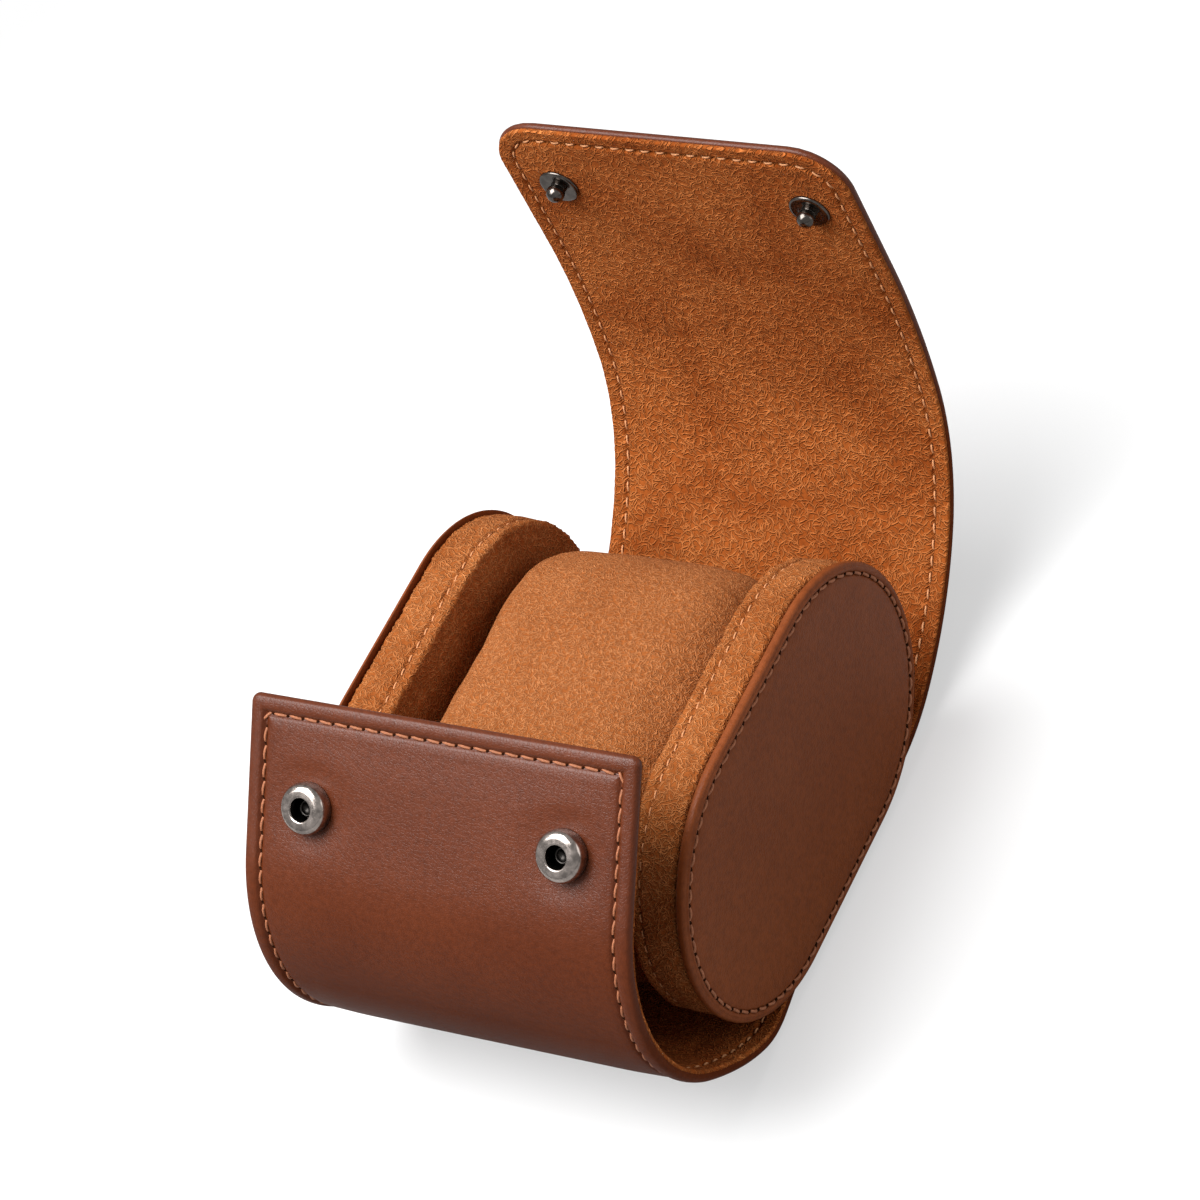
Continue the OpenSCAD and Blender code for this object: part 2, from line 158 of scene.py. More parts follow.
def leather_material(name, light, dark, on_strip, shine):
    """Grained leather. A strip's pattern follows its length and width; a flat face's, its place.
    On a strip the specular strength rises with height: a painted sheen, strongest at the top and
    duller low down."""
    material = bpy.data.materials.new(name)
    tree, shader = nodes_of(material)
    place = tree.nodes.new("ShaderNodeTexCoord").outputs["UV" if on_strip else "Object"]
    drawn = add(tree, "ShaderNodeVectorMath", i0=place, i1=(1.0, 2.6, 2.6))
    drawn.operation = "MULTIPLY"
    cloud = add(tree, "ShaderNodeTexNoise", Vector=place, Scale=26.0, Detail=5.0, Roughness=0.6)
    pores = add(tree, "ShaderNodeTexNoise", Vector=place, Scale=700.0, Detail=3.0, Roughness=0.65)
    cells = add(tree, "ShaderNodeTexVoronoi", Vector=place, Scale=1250.0, Randomness=1.0)
    cells.feature = "DISTANCE_TO_EDGE"
    crease = add(tree, "ShaderNodeTexNoise", Vector=drawn.outputs[0], Scale=150.0, Detail=5.0,
                 Roughness=0.62, Distortion=0.9)
    tint = ramp(tree, cloud.outputs[0], [(0.30, dark), (0.72, light)])
    fleck = ramp(tree, pores.outputs[0], [(0.30, (0.72, 0.69, 0.66)), (0.62, (1.10, 1.09, 1.08))])
    mixed = add(tree, "ShaderNodeMix")
    mixed.data_type = "RGBA"
    mixed.blend_type = "MULTIPLY"
    mixed.inputs["Factor"].default_value = 0.7
    tree.links.new(tint.outputs[0], mixed.inputs[6])
    tree.links.new(fleck.outputs[0], mixed.inputs[7])
    tree.links.new(mixed.outputs[2], shader.inputs["Base Color"])
    wall = add(tree, "ShaderNodeMath", i0=cells.outputs[0], i1=0.14)
    wall.operation = "MINIMUM"
    raised = add(tree, "ShaderNodeMath", i0=wall.outputs[0], i1=0.00040)
    raised.operation = "MULTIPLY"
    fold = add(tree, "ShaderNodeMath", i0=crease.outputs[0], i1=0.00013)
    fold.operation = "MULTIPLY"
    height = add(tree, "ShaderNodeMath", i0=raised.outputs[0], i1=fold.outputs[0])
    bump = add(tree, "ShaderNodeBump", Height=height.outputs[0], Strength=0.45, Distance=1.0)
    tree.links.new(bump.outputs[0], shader.inputs["Normal"])
    rough = add(tree, "ShaderNodeMapRange", Value=pores.outputs[0])
    rough.inputs["To Min"].default_value = 0.30
    rough.inputs["To Max"].default_value = 0.44
    tree.links.new(rough.outputs[0], shader.inputs["Roughness"])
    shader.inputs["Specular IOR Level"].default_value = shine
    # Painted sheen: on a strip the specular strength grows with height, so the top shines more than
    # the lower part.
    if on_strip:
        spot = add(tree, "ShaderNodeSeparateXYZ",
                   Vector=tree.nodes.new("ShaderNodeTexCoord").outputs["Object"])
        painted_sheen = add(tree, "ShaderNodeMapRange", Value=spot.outputs[2], From_Min=0.046,
                     From_Max=0.080, To_Min=shine * 0.1, To_Max=shine)
        tree.links.new(painted_sheen.outputs[0], shader.inputs["Specular IOR Level"])
    return material


wrap_leather = leather_material("wrap_leather", LEATHER_OUT, LEATHER_DARK, True, 0.30)


def rim_steps(rim):
    """Distances from an edge: along a rounded rim, over the stitch line, to the open sheet."""
    round_part = [rim * (1 - math.cos(math.pi / 2 * k / 6)) for k in range(7)]
    flat_part = list(np.linspace(rim + 0.00022, 0.0072, 30))
    return round_part + flat_part


def waves(point, pitch, seed):
    """A smooth value from -1 to 1 that drifts over a surface."""
    x, y, z = point[0] / pitch, point[1] / pitch, point[2] / pitch
    return (math.sin(1.7 * x + 2.3 * y + seed) * math.cos(1.9 * z - 1.3 * y + 2 * seed)
            + 0.5 * math.sin(3.1 * z + 2.7 * y - 1.1 * x + 3 * seed)) / 1.5


SNAP_X = 0.033
SOCKET_BACK = 0.0235
STUD_BACK = 0.0195


def leather_swell(t):
    """Height of the leather at a distance from its edge: a full border, the furrow that the thread
    draws, and a softly padded field."""
    border = 0.00052 * math.sin(math.pi * min(max((t - 0.0001) / 0.0042, 0), 1)) ** 0.7
    furrow = 0.00055 * math.exp(-((t - STITCH_INSET) / 0.00060) ** 2)
    field = 0.00020 * smooth_step(t, STITCH_INSET, STITCH_INSET + 0.0028)
    field += 0.00030 * smooth_step(t, STITCH_INSET, STITCH_INSET + 0.0120)
    return border + field - furrow


def lining_swell(t):
    """The same on the suede side: a thin fuzzy lip at the edge and a narrow sewn furrow."""
    lip = 0.00006 * (1 - smooth_step(t, 0.0012, 0.0024))
    furrow = 0.00070 * math.exp(-((t + LINING_INSET - STITCH_INSET) / 0.00050) ** 2)
    return lip - furrow


def sheet_of_wrap(name, side, start, stop, inset, outer, inner, rim, ends, corner, is_lining,
                  material):
    """A closed sheet of the wrap between two places along it, with rounded rims at its free edges.
    Depths run inwards from the leather side. The snaps press the leather flat round them."""
    edge = rim_steps(rim)
    across = [("edge", -1, t) for t in edge]
    across += [("open", f, 0) for f in np.linspace(-1, 1, 28)[1:-1]]
    across += [("edge", 1, t) for t in reversed(edge)]
    finish = stop - inset if ends else stop
    last_open = finish - edge[-1] if ends else finish
    step = 0.0006 if is_lining else 0.0012
    rows = list(np.linspace(start, last_open, max(3, int((last_open - start) / step))))
    rows.insert(1, start + SEAM_STEP)
    if not ends:
        rows.insert(-1, stop - SEAM_STEP)
    if ends:
        rows += [finish - t for t in reversed(edge)][1:]
    middle = (outer + inner) / 2
    round_r = max(corner - inset, 0.0015)
    snap_at = FLAP_LENGTH - STUD_BACK if side > 0 else FRONT_LENGTH - SOCKET_BACK
    points, uvs = [], []
    for depth_side in (0, 1):
        for s in rows:
            half = half_width(side, s) - inset
            row, uv_row = [], []
            for kind, where, t_side in across:
                x = where * (half - t_side) if kind == "edge" else where * (half - edge[-1])
                t_edge = half - abs(x)
                t = min(t_edge, finish - s) if ends else t_edge
                swell = math.sqrt(max(1 - ((rim - t) / rim) ** 2, 0)) if t < rim else 1.0
                if depth_side == 0:
                    depth = middle - (middle - outer) * swell
                    from_snap = math.hypot(snap_at - s, abs(x) - SNAP_X)
                    loose = smooth_step(from_snap, 0.0070, 0.0120)
                    depth -= 0 if is_lining else leather_swell(t) * swell * loose
                else:
                    depth = middle + (inner - middle) * swell
                    if is_lining:
                        depth += lining_swell(t) * swell
                    else:
                        depth -= 0.0003 * smooth_step(t, 0.0008, 0.0014)
                along = s
                if is_lining and t < 0.0016:
                    frayed = 0.00022 * waves((s, x, side), 0.0009, 1.0) * (1 - t / 0.0016)
                    at_end = ends and s > finish - 0.0016
                    if kind == "edge" and t_side <= t_edge + 1e-9 and not at_end:
                        x += math.copysign(frayed, x)
                if ends and abs(x) > half - round_r and s > finish - round_r:
                    a = (abs(x) - (half - round_r)) / round_r
                    b = (s - (finish - round_r)) / round_r
                    scale = max(a, b) / max(math.hypot(a, b), 1e-9)
                    x = math.copysign(half - round_r + a * scale * round_r, x)
                    along = finish - round_r + b * scale * round_r
                row.append(wrap_place(side, along, x, depth))
                uv_row.append((x + depth, side * along + depth))
            points.append(row)
            uvs.append(uv_row)
    count, columns = len(rows), len(across)
    flat = [p for row in points for p in row]
    flat_uv = [uv for row in uvs for uv in row]
    lower = count * columns
    faces = []
    for i in range(count - 1):
        for j in range(columns - 1):
            a, b = i * columns + j, i * columns + j + 1
            c, d = b + columns, a + columns
            faces.append((a, b, c, d))
            faces.append((lower + a, lower + d, lower + c, lower + b))
    first_cap = len(faces)
    for i in ([0] if ends else [0, count - 1]):
        for j in range(columns - 1):
            a, b = i * columns + j, i * columns + j + 1
            faces.append((a, lower + a, lower + b, b) if i == 0 else (a, b, lower + b, lower + a))
    mesh = bpy.data.meshes.new(name)
    mesh.from_pydata(flat, [], faces)
    layer = mesh.uv_layers.new(name="strip")
    for loop in mesh.loops:
        layer.data[loop.index].uv = flat_uv[loop.vertex_index]
    shell = bmesh.new()
    shell.from_mesh(mesh)
    shell.faces.ensure_lookup_table()
    for f in shell.faces:
        f.smooth = True
    for f in list(shell.faces)[first_cap:]:
        f.smooth = False
        for e in f.edges:
            e.smooth = False
    bmesh.ops.remove_doubles(shell, verts=shell.verts, dist=0.000002)
    bmesh.ops.recalc_face_normals(shell, faces=shell.faces)
    shell.to_mesh(mesh)
    shell.free()
    mesh.materials.append(material)
    thing = bpy.data.objects.new(name, mesh)
    bpy.context.scene.collection.objects.link(thing)
    return thing


def follow_wrap(thing, side, index):
    """Bakes a cut's placement into its own mesh; the points either side of its hinge are worked out
    but not used.
    """
    front = ["case", "front_lower", "front_belly", "front_top"]
    flap = ["case", "flap_1", "flap_2", "flap_3", "flap_4", "flap_5"]
    names, hinges = (flap, FLAP_HINGES) if side > 0 else (front, FRONT_HINGES)
    reach = 0.009
    before = wrap_place(side, hinges[index] - reach, 0, WRAP_THICK)
    after = wrap_place(side, hinges[index] + reach, 0, WRAP_THICK)
    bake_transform(thing)


WRAP_CUTS = {1: crease_stops(FLAP_HINGES, FLAP_LENGTH),
             -1: crease_stops(FRONT_HINGES, FRONT_LENGTH)}
CORNER = {1: 0.013, -1: 0.0022}
FLAP_NAMES = ["flap_1", "flap_2", "flap_3", "flap_4", "flap_5"]
FRONT_NAMES = ["front_lower", "front_belly", "front_top"]

for side, names in ((1, FLAP_NAMES), (-1, FRONT_NAMES)):
    cuts = WRAP_CUTS[side]
    for index, part in enumerate(names):
        ends = index == len(names) - 1
        outside = sheet_of_wrap(part + "_outside", side, cuts[index], cuts[index + 1], 0, 0, 0.0018,
                                RIM_RADIUS, ends, CORNER[side], False, wrap_leather)
        follow_wrap(outside, side, index)
        stands_for = [part + "_leather", part + "_board"]
        if part == "flap_1":
            stands_for += ["base_leather", "base_board"]
        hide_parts(*stands_for)

# ---- The suede lining of the wrap ----
# Tan suede glued over the board, its edge tucked just inside the turned leather and caught by the
# same row of stitches. Its nap is short and curly, and lies darker and lighter in soft patches.
LINING_LIGHT = (0.510, 0.155, 0.0395)
LINING_DARK = (0.315, 0.074, 0.0142)


def strands(tree, place, size, shift):
    """Height of short curly fibres, one to each Voronoi cell: each lies its own way, bends a little
    and thins out to its ends."""
    def maths(kind, a, b=0.0, c=0.0):
        node = add(tree, "ShaderNodeMath", i0=a, i1=b, i2=c)
        node.operation = kind
        return node.outputs[0]

    def vectors(kind, a, b=(0.0, 0.0, 0.0), output=0):
        node = add(tree, "ShaderNodeVectorMath", i0=a, i1=b)
        node.operation = kind
        return node.outputs[output]

    moved = vectors("ADD", place, shift)
    cell = add(tree, "ShaderNodeTexVoronoi", Vector=moved, Scale=1.0 / size, Randomness=1.0)
    cell.voronoi_dimensions = "2D"
    away = vectors("SUBTRACT", moved, cell.outputs["Position"])
    lie = vectors("SUBTRACT", cell.outputs["Color"], (0.5, 0.5, 0.5))
    beside = vectors("NORMALIZE", vectors("CROSS_PRODUCT", lie, (0.0, 0.0, 1.0)))
    ahead = vectors("CROSS_PRODUCT", (0.0, 0.0, 1.0), beside)
    along = maths("DIVIDE", vectors("DOT_PRODUCT", away, ahead, 1), size)
    across = maths("DIVIDE", vectors("DOT_PRODUCT", away, beside, 1), size)
    own = add(tree, "ShaderNodeSeparateXYZ", Vector=lie)
    curl = maths("MULTIPLY", maths("MULTIPLY", along, along),
                 maths("MULTIPLY", own.outputs[2], 3.4))
    bent = maths("ADD", across, curl)
    body = maths("MULTIPLY_ADD", maths("MULTIPLY", bent, bent), -80.0, 1.0)
    taper = maths("MULTIPLY_ADD", maths("MULTIPLY", along, along), -2.4, 1.0)
    return maths("MULTIPLY", maths("MAXIMUM", body, 0.0), maths("MAXIMUM", taper, 0.0))


def suede_material(name, light, dark, patch_scale, size, patches="UV"):
    """Napped suede: curly fibres in five layers over soft darker and lighter patches, with a dull
    sheen. The fibres follow the piece's own length and width."""
    material = bpy.data.materials.new(name)
    tree, shader = nodes_of(material)
    where = tree.nodes.new("ShaderNodeTexCoord")
    place = where.outputs["UV"]
    patch = add(tree, "ShaderNodeTexNoise", Vector=where.outputs[patches], Scale=patch_scale,
                Detail=5.0, Roughness=0.62, Distortion=0.5)
    speck = add(tree, "ShaderNodeTexNoise", Vector=place, Scale=0.9 / size, Detail=3.0,
                Roughness=0.6)
    nap = None
    for share, shift in ((1.0, (0.0, 0.0, 0.0)), (0.86, (0.31, 0.17, 0.0)),
                         (1.12, (0.53, 0.41, 0.0)), (0.74, (0.77, 0.63, 0.0)),
                         (0.93, (0.91, 0.29, 0.0))):
        layer = strands(tree, place, size * share, shift)
        if nap is None:
            nap = layer
        else:
            upper = add(tree, "ShaderNodeMath", i0=nap, i1=layer)
            upper.operation = "MAXIMUM"
            nap = upper.outputs[0]
    tone = ramp(tree, patch.outputs[0], [(0.33, dark), (0.66, light)])
    # The fibres' colour follows their height: painted shade darkens the gaps between them and a
    # paler, cooler painted highlight lies on their tops.
    nap_shade_and_highlight = ramp(tree, nap, [(0.0, (0.66, 0.57, 0.44)), (0.35, (0.94, 0.90, 0.84)),
                             (0.90, (1.20, 1.32, 1.46))])
    mottle = ramp(tree, speck.outputs[0], [(0.32, (0.84, 0.80, 0.76)), (0.66, (1.14, 1.16, 1.18))])
    last = tone.outputs[0]
    for layer in (nap_shade_and_highlight, mottle):
        mixed = add(tree, "ShaderNodeMix")
        mixed.data_type = "RGBA"
        mixed.blend_type = "MULTIPLY"
        mixed.inputs["Factor"].default_value = 1.0
        tree.links.new(last, mixed.inputs[6])
        tree.links.new(layer.outputs[0], mixed.inputs[7])
        last = mixed.outputs[2]
    tree.links.new(last, shader.inputs["Base Color"])
    height = add(tree, "ShaderNodeMath", i0=nap, i1=size * 0.27)
    height.operation = "MULTIPLY"
    bump = add(tree, "ShaderNodeBump", Height=height.outputs[0], Strength=1.0, Distance=1.0)
    tree.links.new(bump.outputs[0], shader.inputs["Normal"])
    shader.inputs["Roughness"].default_value = 0.95
    shader.inputs["Specular IOR Level"].default_value = 0.04
    shader.inputs["Sheen Weight"].default_value = 0.02
    shader.inputs["Sheen Roughness"].default_value = 0.6
    shader.inputs["Sheen Tint"].default_value = (1.0, 0.62, 0.36, 1)
    return material


wrap_suede = suede_material("wrap_suede", LINING_LIGHT, LINING_DARK, 24.0, 0.0024)

for side, names in ((1, FLAP_NAMES), (-1, FRONT_NAMES)):
    cuts = WRAP_CUTS[side]
    for index, part in enumerate(names):
        ends = index == len(names) - 1
        lining = sheet_of_wrap(part + "_suede", side, cuts[index], cuts[index + 1], LINING_INSET,
                               0.0013, WRAP_THICK + 0.0001, 0.0005, ends, CORNER[side], True,
                               wrap_suede)
        follow_wrap(lining, side, index)
        stands_for = [part + "_lining"] + (["base_lining"] if part == "flap_1" else [])
        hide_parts(*stands_for)

# ---- The stitches of the wrap ----
# Waxed thread, about six stitches to the inch, sewn close to the rim all round. Each stitch dives
# into a small needle hole at both ends, drawn as a flat dark disc of painted shade, and lies a
# little slanted.
THREAD_ORANGE = (0.370, 0.128, 0.054)
THREAD_PEACH = (0.640, 0.280, 0.115)
# Colours of the flat discs in the needle holes: painted shade.
HOLE_SHADE_BROWN = (0.024, 0.008, 0.004)
HOLE_SHADE_TAN = (0.170, 0.052, 0.014)
STITCH_PITCH = 0.0040


def thread_material(name, colour):
    material = bpy.data.materials.new(name)
    tree, shader = nodes_of(material)
    place = tree.nodes.new("ShaderNodeTexCoord").outputs["Object"]
    ply = add(tree, "ShaderNodeTexNoise", Vector=place, Scale=2600.0, Detail=2.0)
    shade = ramp(tree, ply.outputs[0], [(0.35, tuple(c * 0.72 for c in colour)),
                                        (0.65, tuple(min(c * 1.15, 1) for c in colour))])
    tree.links.new(shade.outputs[0], shader.inputs["Base Color"])
    bump = add(tree, "ShaderNodeBump", Height=ply.outputs[0], Strength=0.4, Distance=0.0002)
    tree.links.new(bump.outputs[0], shader.inputs["Normal"])
    shader.inputs["Roughness"].default_value = 0.7
    return material


orange_thread = thread_material("orange_thread", THREAD_ORANGE)
peach_thread = thread_material("peach_thread", THREAD_PEACH)
NEEDLE_HOLE_SHADES = {}
for thread_name, hole_colour in (("orange", HOLE_SHADE_BROWN), ("peach", HOLE_SHADE_TAN)):
    needle_hole_shade = bpy.data.materials.new(thread_name + "_needle_hole_shade")
    nodes_of(needle_hole_shade)[1].inputs["Base Color"].default_value = (*hole_colour, 1)
    nodes_of(needle_hole_shade)[1].inputs["Roughness"].default_value = 0.9
    nodes_of(needle_hole_shade)[1].inputs["Specular IOR Level"].default_value = 0.0
    NEEDLE_HOLE_SHADES[thread_name] = needle_hole_shade


def stitch_tree(name, thread, hole):
    """Lays slanted stitches along a path that carries the way out, with a dark disc of painted
    shade for the needle hole at each end.
    """
    tree = bpy.data.node_groups.new(name, "GeometryNodeTree")
    face = tree.interface
    face.new_socket("Path", in_out="INPUT", socket_type="NodeSocketGeometry")
    count = face.new_socket("Stitches", in_out="INPUT", socket_type="NodeSocketInt")
    length = face.new_socket("Stitch Length", in_out="INPUT", socket_type="NodeSocketFloat")
    radius = face.new_socket("Thread Radius", in_out="INPUT", socket_type="NodeSocketFloat")
    slant = face.new_socket("Slant", in_out="INPUT", socket_type="NodeSocketFloat")
    face.new_socket("Sewn", in_out="OUTPUT", socket_type="NodeSocketGeometry")
    nodes, links = tree.nodes, tree.links
    into = nodes.new("NodeGroupInput")
    out = nodes.new("NodeGroupOutput")

    def given(label):
        return into.outputs[label]

    def math_node(kind, a, b):
        node = nodes.new("ShaderNodeMath")
        node.operation = kind
        for socket, value in zip(node.inputs, (a, b)):
            if isinstance(value, bpy.types.NodeSocket):
                links.new(value, socket)
            else:
                socket.default_value = value
        return node.outputs[0]

    def vector(x, y, z):
        node = nodes.new("ShaderNodeCombineXYZ")
        for socket, value in zip(node.inputs, (x, y, z)):
            if isinstance(value, bpy.types.NodeSocket):
                links.new(value, socket)
            else:
                socket.default_value = value
        return node.outputs[0]

    curve = nodes.new("GeometryNodeMeshToCurve")
    links.new(given("Path"), curve.inputs[0])
    resample = nodes.new("GeometryNodeResampleCurve")
    links.new(curve.outputs[0], resample.inputs["Curve"])
    links.new(given("Stitches"), resample.inputs["Count"])
    tangent = nodes.new("GeometryNodeInputTangent")
    outward = nodes.new("GeometryNodeInputNamedAttribute")
    outward.data_type = "FLOAT_VECTOR"
    outward.inputs["Name"].default_value = "out"
    up = nodes.new("FunctionNodeAlignRotationToVector")
    up.axis = "Z"
    links.new(outward.outputs[0], up.inputs["Vector"])
    along = nodes.new("FunctionNodeAlignRotationToVector")
    along.axis = "X"
    along.pivot_axis = "Z"
    links.new(up.outputs[0], along.inputs[0])
    links.new(tangent.outputs[0], along.inputs["Vector"])
    turned = nodes.new("FunctionNodeRotateRotation")
    turned.rotation_space = "LOCAL"
    links.new(along.outputs[0], turned.inputs[0])
    links.new(vector(0.0, 0.0, given("Slant")), turned.inputs[1])

    arc = nodes.new("GeometryNodeCurveQuadraticBezier")
    arc.inputs["Resolution"].default_value = 6
    half = math_node("MULTIPLY", given("Stitch Length"), 0.5)
    low = math_node("MULTIPLY", given("Thread Radius"), -1.1)
    high = math_node("MULTIPLY", given("Thread Radius"), 1.9)
    links.new(vector(math_node("MULTIPLY", half, -1.0), 0.0, low), arc.inputs["Start"])
    links.new(vector(0.0, 0.0, high), arc.inputs["Middle"])
    links.new(vector(half, 0.0, low), arc.inputs["End"])
    round_section = nodes.new("GeometryNodeCurvePrimitiveCircle")
    round_section.inputs["Resolution"].default_value = 7
    links.new(given("Thread Radius"), round_section.inputs["Radius"])
    tube = nodes.new("GeometryNodeCurveToMesh")
    links.new(arc.outputs[0], tube.inputs["Curve"])
    links.new(round_section.outputs[0], tube.inputs["Profile Curve"])
    tube.inputs["Fill Caps"].default_value = True
    thread_paint = nodes.new("GeometryNodeSetMaterial")
    thread_paint.inputs["Material"].default_value = thread
    links.new(tube.outputs[0], thread_paint.inputs[0])

    joined = nodes.new("GeometryNodeJoinGeometry")
    links.new(thread_paint.outputs[0], joined.inputs[0])
    # At each end of the stitch a flat dark disc: painted shade in the needle hole.
    for way in (-1.0, 1.0):
        pit = nodes.new("GeometryNodeMeshUVSphere")
        pit.inputs["Segments"].default_value = 8
        pit.inputs["Rings"].default_value = 5
        links.new(math_node("MULTIPLY", given("Thread Radius"), 1.25), pit.inputs["Radius"])
        placed = nodes.new("GeometryNodeTransform")
        links.new(pit.outputs[0], placed.inputs["Geometry"])
        links.new(vector(math_node("MULTIPLY", half, 1.04 * way), 0.0,
                         math_node("MULTIPLY", given("Thread Radius"), -0.22)),
                  placed.inputs["Translation"])
        placed.inputs["Scale"].default_value = (1.0, 0.9, 0.32)
        pit_paint = nodes.new("GeometryNodeSetMaterial")
        pit_paint.inputs["Material"].default_value = hole
        links.new(placed.outputs[0], pit_paint.inputs[0])
        links.new(pit_paint.outputs[0], joined.inputs[0])

    spread = nodes.new("GeometryNodeInstanceOnPoints")
    links.new(resample.outputs[0], spread.inputs["Points"])
    links.new(joined.outputs[0], spread.inputs["Instance"])
    links.new(turned.outputs[0], spread.inputs["Rotation"])
    real = nodes.new("GeometryNodeRealizeInstances")
    links.new(spread.outputs[0], real.inputs[0])
    smooth = nodes.new("GeometryNodeSetShadeSmooth")
    links.new(real.outputs[0], smooth.inputs[0])
    links.new(smooth.outputs[0], out.inputs[0])
    sockets = {"count": count.identifier, "length": length.identifier,
               "radius": radius.identifier, "slant": slant.identifier}
    return tree, sockets


STITCHERS = {"orange": stitch_tree("sew_orange", orange_thread, NEEDLE_HOLE_SHADES["orange"]),
             "peach": stitch_tree("sew_peach", peach_thread, NEEDLE_HOLE_SHADES["peach"])}


def sew(name, paths, thread, slant, radius=0.00033, length=0.0030, pitch=STITCH_PITCH):
    """Sews along each path of (point, way out) pairs and returns one mesh with all the stitches."""
    made = []
    for path in paths:
        mesh = bpy.data.meshes.new(name + "_path")
        mesh.from_pydata([p for p, _ in path], [(i, i + 1) for i in range(len(path) - 1)], [])
        way_out = mesh.attributes.new("out", "FLOAT_VECTOR", "POINT")
        way_out.data.foreach_set("vector", [c for _, n in path for c in n])
        seam = bpy.data.objects.new(name + "_path", mesh)
        bpy.context.scene.collection.objects.link(seam)
        run = sum((b[0] - a[0]).length for a, b in zip(path, path[1:]))
        tree, sockets = STITCHERS[thread]
        sewing = seam.modifiers.new("sewing", "NODES")
        sewing.node_group = tree
        sewing[sockets["count"]] = max(2, int(round(run / pitch)) + 1)
        sewing[sockets["length"]] = length
        sewing[sockets["radius"]] = radius
        sewing[sockets["slant"]] = slant
        depsgraph = bpy.context.evaluated_depsgraph_get()
        sewn = bpy.data.meshes.new_from_object(seam.evaluated_get(depsgraph), depsgraph=depsgraph)
        bpy.data.objects.remove(seam)
        made.append(sewn)
    join = bmesh.new()
    for sewn in made:
        join.from_mesh(sewn)
    whole = bpy.data.meshes.new(name)
    join.to_mesh(whole)
    join.free()
    for material in made[0].materials:
        whole.materials.append(material)
    thing = bpy.data.objects.new(name, whole)
    bpy.context.scene.collection.objects.link(thing)
    return thing


def wrap_seam(side, start, stop, ends, corner, depth, way):
    """Stitch path of one cut of the wrap. At the end of the strip it runs round the two corners."""
    inset = STITCH_INSET
    if not ends:
        spots = np.linspace(start + STITCH_PITCH / 2, stop - STITCH_PITCH / 2, 60)
        flat = [[(sign * (half_width(side, s) - inset), s) for s in spots] for sign in (-1, 1)]
    else:
        half = half_width(side, stop) - inset
        top = stop - inset
        r = max(corner - inset, 0.0012)
        line = [(-half, s) for s in np.linspace(start + STITCH_PITCH / 2, top - r, 40)]
        line += [(-half + r - r * math.cos(a), top - r + r * math.sin(a))
                 for a in np.linspace(0, math.pi / 2, 12)[1:]]
        line += [(x, top) for x in np.linspace(-half + r, half - r, 60)[1:]]
        line += [(half - r + r * math.sin(a), top - r + r * math.cos(a))
                 for a in np.linspace(0, math.pi / 2, 12)[1:]]
        line += [(half, s) for s in np.linspace(top - r, start + STITCH_PITCH / 2, 40)[1:]]
        flat = [line]
    return [[(wrap_place(side, s, x, depth), wrap_normal(side, s) * way) for x, s in line]
            for line in flat]


STITCH_SIZES = {"outside": (0.00034, 0.0035), "inside": (0.00026, 0.0024)}

for side, names in ((1, FLAP_NAMES), (-1, FRONT_NAMES)):
    cuts = WRAP_CUTS[side]
    for index, part in enumerate(names):
        ends = index == len(names) - 1
        for face, depth, way, thread, slant in (
                ("outside", 0.00034, 1, "orange", -0.13),
                ("inside", WRAP_THICK - 0.00022, -1, "peach", 0.10)):
            paths = wrap_seam(side, cuts[index], cuts[index + 1], ends, CORNER[side], depth, way)
            seam = sew(part + "_stitches_" + face, paths, thread, slant, *STITCH_SIZES[face])
            follow_wrap(seam, side, index)

# ---- The end walls ----
# Each wall is a padded, round-ended block: outside, a stitched leather panel with a rounded rim; on
# its band and inner side, suede with a seam close to the inner rim. The left band swells out over
# its leather rim.
WALL_STRAIGHT = 0.0196
WALL_MIDDLE = 0.0378
FACE_RADIUS = 0.0364
FACE_STITCH = 0.0338
FACE_OUT = 0.0492
BAND_RADIUS = 0.0354
WALL_INNER = 0.0341
SEAM_PLACE = 0.0372
INNER_RIM = 0.0012
END_SHRINK = 0.0150
FLAT_MAP = 0.0190
# The end panels are the same leather as the wrap, painted about twice as light: painted light on
# the shaded end faces.
FACE_BROWN = (0.230, 0.0615, 0.0180)
FACE_BROWN_DARK = (0.188, 0.0465, 0.0125)
face_leather = leather_material("face_leather", FACE_BROWN, FACE_BROWN_DARK, False, 0.11)


def round_ended_outline(count):
    """Evenly spaced places round a round-ended outline, as (centre y, cos, sin) triples."""
    arc = math.pi * FACE_RADIUS
    on_arc = int(count * arc / (2 * arc + 4 * WALL_STRAIGHT))
    on_edge = count // 2 - on_arc
    spots = []
    for centre, begin in ((WALL_STRAIGHT, -math.pi / 2), (-WALL_STRAIGHT, math.pi / 2)):
        for k in range(on_arc):
            a = begin + math.pi * k / (on_arc - 1)
            spots.append((centre, math.cos(a), math.sin(a)))
        for k in range(1, on_edge):
            move = centre - 2 * centre * k / on_edge
            spots.append((move, 0.0, math.sin(begin + math.pi)))
    return spots


